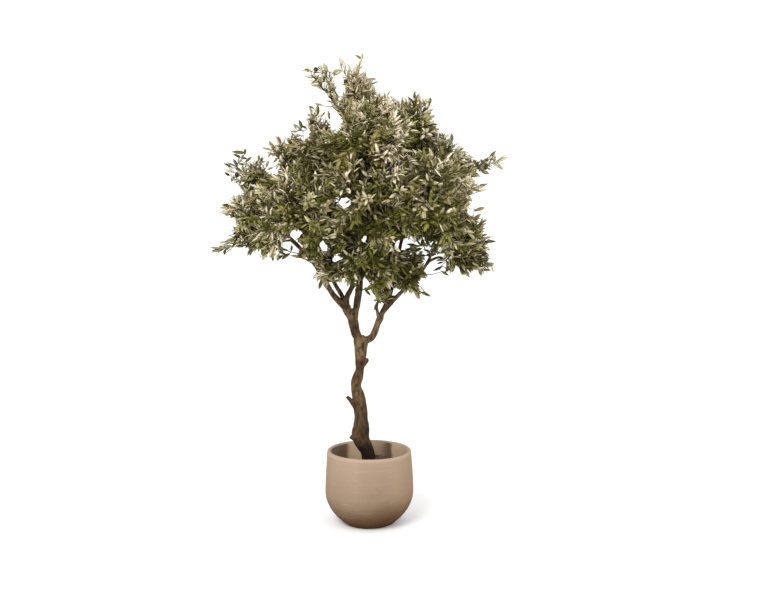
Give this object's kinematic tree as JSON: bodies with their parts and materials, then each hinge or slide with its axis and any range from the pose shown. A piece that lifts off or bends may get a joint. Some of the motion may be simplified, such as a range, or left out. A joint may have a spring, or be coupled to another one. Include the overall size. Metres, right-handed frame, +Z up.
{
  "type": "potted olive tree",
  "caption": "Artificial olive tree with a kinked, forking trunk and a wide open crown of narrow grey-green leaves and dark olives, in a round-bellied stoneware pot.",
  "frame": {"origin": "centre of the pot's flat underside, on the floor", "axes": "+Z up along the tree's height, -Y towards the front, +X to the right seen from the front"},
  "size_m": [1.256, 1, 2],
  "materials": {
    "pot": "unglazed, rough, warm taupe",
    "soil": "loose dark earth",
    "bark": "furrowed brown bark with olive mottling",
    "foliage": "satin leaf, dull green above and sage below"
  },
  "bodies": {
    "root": {"pot": "pot", "soil": "soil", "trunk": "bark", "left_limb": "bark", "outer_left_bough": "bark", "back_left_bough": "bark", "inner_left_bough": "bark", "leader_bough": "bark", "right_limb": "bark", "right_low_bough": "bark", "low_left_bough": "bark", "under_left_bough": "bark", "left_shoulder_bough": "bark", "rear_left_bough": "bark", "front_left_bough": "bark", "front_low_bough": "bark", "crown_left_bough": "bark", "crown_right_bough": "bark", "upper_right_bough": "bark", "front_high_bough": "bark", "front_middle_bough": "bark", "rear_middle_bough": "bark", "rear_high_bough": "bark", "right_shoot_bough": "bark", "right_middle_bough": "bark", "right_under_bough": "bark", "low_right_bough": "bark", "low_shoot_bough": "bark", "front_right_bough": "bark", "rear_right_bough": "bark", "rear_low_bough": "bark", "outer_left_leaves": "foliage", "back_left_leaves": "foliage", "inner_left_leaves": "foliage", "leader_leaves": "foliage", "right_limb_leaves": "foliage", "right_low_leaves": "foliage", "low_left_leaves": "foliage", "under_left_leaves": "foliage", "left_shoulder_leaves": "foliage", "rear_left_leaves": "foliage", "front_left_leaves": "foliage", "front_low_leaves": "foliage", "crown_left_leaves": "foliage", "crown_right_leaves": "foliage", "upper_right_leaves": "foliage", "front_high_leaves": "foliage", "front_middle_leaves": "foliage", "rear_middle_leaves": "foliage", "rear_high_leaves": "foliage", "right_shoot_leaves": "foliage", "right_middle_leaves": "foliage", "right_under_leaves": "foliage", "low_right_leaves": "foliage", "low_shoot_leaves": "foliage", "front_right_leaves": "foliage", "rear_right_leaves": "foliage", "rear_low_leaves": "foliage"}
  },
  "joints": []
}
